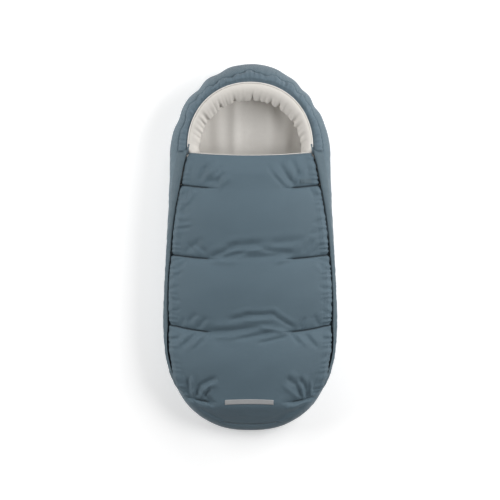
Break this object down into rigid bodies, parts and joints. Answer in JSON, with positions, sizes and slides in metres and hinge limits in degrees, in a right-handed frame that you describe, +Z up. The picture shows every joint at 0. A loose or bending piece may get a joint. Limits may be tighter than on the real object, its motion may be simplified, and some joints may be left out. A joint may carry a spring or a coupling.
{
  "type": "stroller footmuff",
  "caption": "Padded footmuff for a pushchair: an open-hooded fleece-lined pod with a quilted zip-off cover that folds down over the toe cap.",
  "frame": {"origin": "on the floor under the middle of the pod's length and width, the footmuff lying on its back", "axes": "+Z up through the cover, +Y towards the head end, +X to the viewer's right when seen from above with the head end up"},
  "size_m": [0.4534, 0.949, 0.1522],
  "materials": {
    "shell_fabric": "matt woven polyester, mid blue-grey",
    "band_fabric": "matt woven polyester, gathered, lighter blue-grey",
    "cover_fabric": "soft matt woven polyester, blue-grey",
    "placket_fabric": "matt twill, darker blue-grey",
    "zip_tape": "woven tape, dark blue-grey",
    "zip_coil": "satin nylon coil",
    "zip_metal": "satin painted zinc",
    "fleece": "brushed fleece, off-white",
    "back_fleece": "brushed fleece, off-white",
    "wadding": "polyester wadding",
    "elastic": "knitted elastic",
    "grip": "coated fabric with raised dots",
    "reflective": "glass-bead reflective tape"
  },
  "bodies": {
    "pod": {"back_shell": "shell_fabric", "back_wadding": "wadding", "back_lining": "back_fleece", "grip_panel": "grip", "harness_slot_left": "zip_tape", "harness_slot_right": "zip_tape", "harness_slot_crotch": "zip_tape", "hood_band": "band_fabric", "hood_elastic": "elastic", "collar_fleece": "fleece", "collar_filling": "wadding", "zip_placket_left": "placket_fabric", "zip_placket_right": "placket_fabric", "pod_zip_tape_left": "zip_tape", "pod_zip_tape_right": "zip_tape", "pod_zip_coil_left": "zip_coil", "pod_zip_coil_right": "zip_coil", "zip_top_stop_left": "zip_metal", "zip_top_stop_right": "zip_metal", "zip_bottom_stop_left": "zip_metal", "zip_bottom_stop_right": "zip_metal", "toe_face": "cover_fabric", "toe_wadding": "wadding", "toe_lining": "fleece", "reflective_strip": "reflective"},
    "cover": {"cover_face": "cover_fabric", "cover_lining": "fleece", "cover_wadding_upper": "wadding", "cover_wadding_middle": "wadding", "cover_wadding_lower": "wadding", "cover_zip_tape_left": "zip_tape", "cover_zip_tape_right": "zip_tape", "cover_zip_coil_left": "zip_coil", "cover_zip_coil_right": "zip_coil"},
    "flap": {"flap_face": "cover_fabric", "flap_lining": "fleece", "flap_wadding": "wadding", "flap_binding": "fleece", "flap_zip_tape_left": "zip_tape", "flap_zip_tape_right": "zip_tape", "flap_zip_coil_left": "zip_coil", "flap_zip_coil_right": "zip_coil", "side_tag": "placket_fabric"},
    "slider_left": {"zip_slider_left": "zip_metal"},
    "slider_right": {"zip_slider_right": "zip_metal"},
    "pull_left": {"zip_pull_left": "zip_metal"},
    "pull_right": {"zip_pull_right": "zip_metal"}
  },
  "joints": [
    {"name": "cover_open", "type": "hinge", "parent": "pod", "child": "cover", "pos_m": [0, -0.4001, 0.1134], "axis": [1, 0, 0], "range_deg": [0, 150]},
    {"name": "flap_fold", "type": "hinge", "parent": "cover", "child": "flap", "pos_m": [0, 0.1547, 0.14452], "axis": [1, 0, 0], "range_deg": [0, 115]},
    {"name": "slider_left_travel", "type": "hinge", "parent": "pod", "child": "slider_left", "pos_m": [1.6063, -0.1755, 0.09028], "axis": [0, -0.0384, 0.9993], "range_deg": [0, 15.9]},
    {"name": "slider_right_travel", "type": "hinge", "parent": "pod", "child": "slider_right", "pos_m": [-1.6063, -0.1755, 0.09028], "axis": [0, 0.0384, -0.9993], "range_deg": [0, 15.9]},
    {"name": "pull_left_flip", "type": "hinge", "parent": "slider_left", "child": "pull_left", "pos_m": [-0.16403, 0.24628, 0.1122], "axis": [0.9727, -0.2319, -0.0089], "range_deg": [0, 175]},
    {"name": "pull_right_flip", "type": "hinge", "parent": "slider_right", "child": "pull_right", "pos_m": [0.16403, 0.24628, 0.1122], "axis": [0.9727, 0.2319, 0.0089], "range_deg": [0, 175]}
  ]
}
